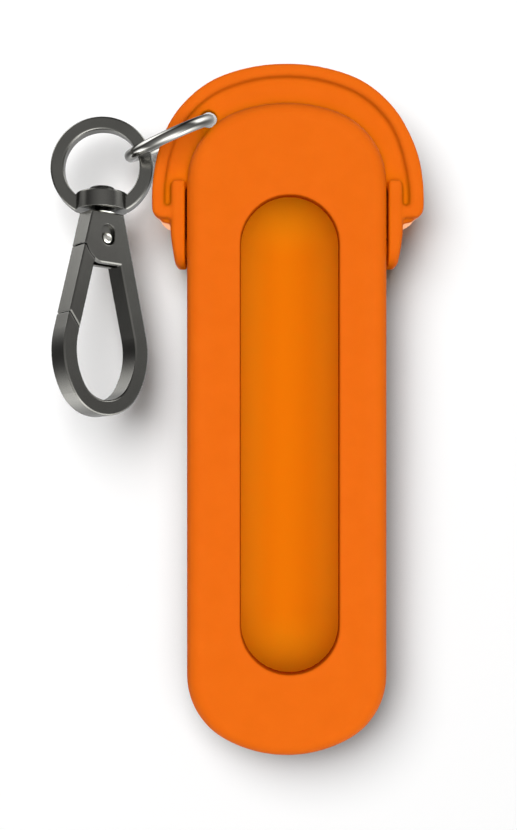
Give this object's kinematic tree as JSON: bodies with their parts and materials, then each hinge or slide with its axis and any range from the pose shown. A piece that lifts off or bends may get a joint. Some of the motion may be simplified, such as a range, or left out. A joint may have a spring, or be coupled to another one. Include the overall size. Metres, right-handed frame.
{
  "type": "silicone carry sleeve",
  "caption": "Open-fronted silicone sleeve with a hinged hood, a jump ring and a swivel snap hook for carrying a small slim training tool.",
  "frame": {"origin": "centre of the sleeve's flat back face", "axes": "+Z out of the open front, +Y along the sleeve towards the hood, +X to the right seen from the front"},
  "size_m": [0.0582, 0.108, 0.0174],
  "materials": {
    "orange_silicone": "satin moulded silicone",
    "polished_ring": "polished dark nickel",
    "gunmetal": "satin gunmetal plating",
    "polished_pin": "polished nickel rivet",
    "spring_steel": "drawn wire"
  },
  "bodies": {
    "sleeve": {"sleeve_body": "orange_silicone"},
    "hood": {"hood": "orange_silicone"},
    "ring": {"jump_ring": "polished_ring"},
    "eye": {"swivel_eye": "gunmetal"},
    "hook": {"hook_frame": "gunmetal", "swivel_post": "gunmetal", "gate_pin": "polished_pin", "gate_spring": "spring_steel"},
    "gate": {"gate": "gunmetal"}
  },
  "joints": [
    {"name": "hood_flip", "type": "hinge", "parent": "sleeve", "child": "hood", "pos_m": [0, 0.0286, 0.006], "axis": [-1, 0, 0], "range_deg": [0, 110]},
    {"name": "ring_turn", "type": "hinge", "parent": "hood", "child": "ring", "pos_m": [-0.01847, 0.04585, 0.00835], "axis": [-0.4143, 0.8966, 0.1564], "range_deg": [-60, 0]},
    {"name": "eye_swing", "type": "hinge", "parent": "ring", "child": "eye", "pos_m": [-0.02465, 0.043, 0.00835], "axis": [0.0656, -0.142, 0.9877], "range_deg": [-60, 0]},
    {"name": "hook_swivel", "type": "hinge", "parent": "eye", "child": "hook", "pos_m": [-0.02905, 0.0411, 0.0085], "axis": [0, -0.9962, 0.0872], "continuous": true},
    {"name": "gate_open", "type": "hinge", "parent": "hook", "child": "gate", "pos_m": [-0.02905, 0.02964, 0.0095], "axis": [0.6428, 0.0668, 0.7631], "range_deg": [0, 20], "stiffness_Nm_per_rad": 0.01, "springref_deg": -20.05, "deforming": ["gate_spring"]}
  ]
}
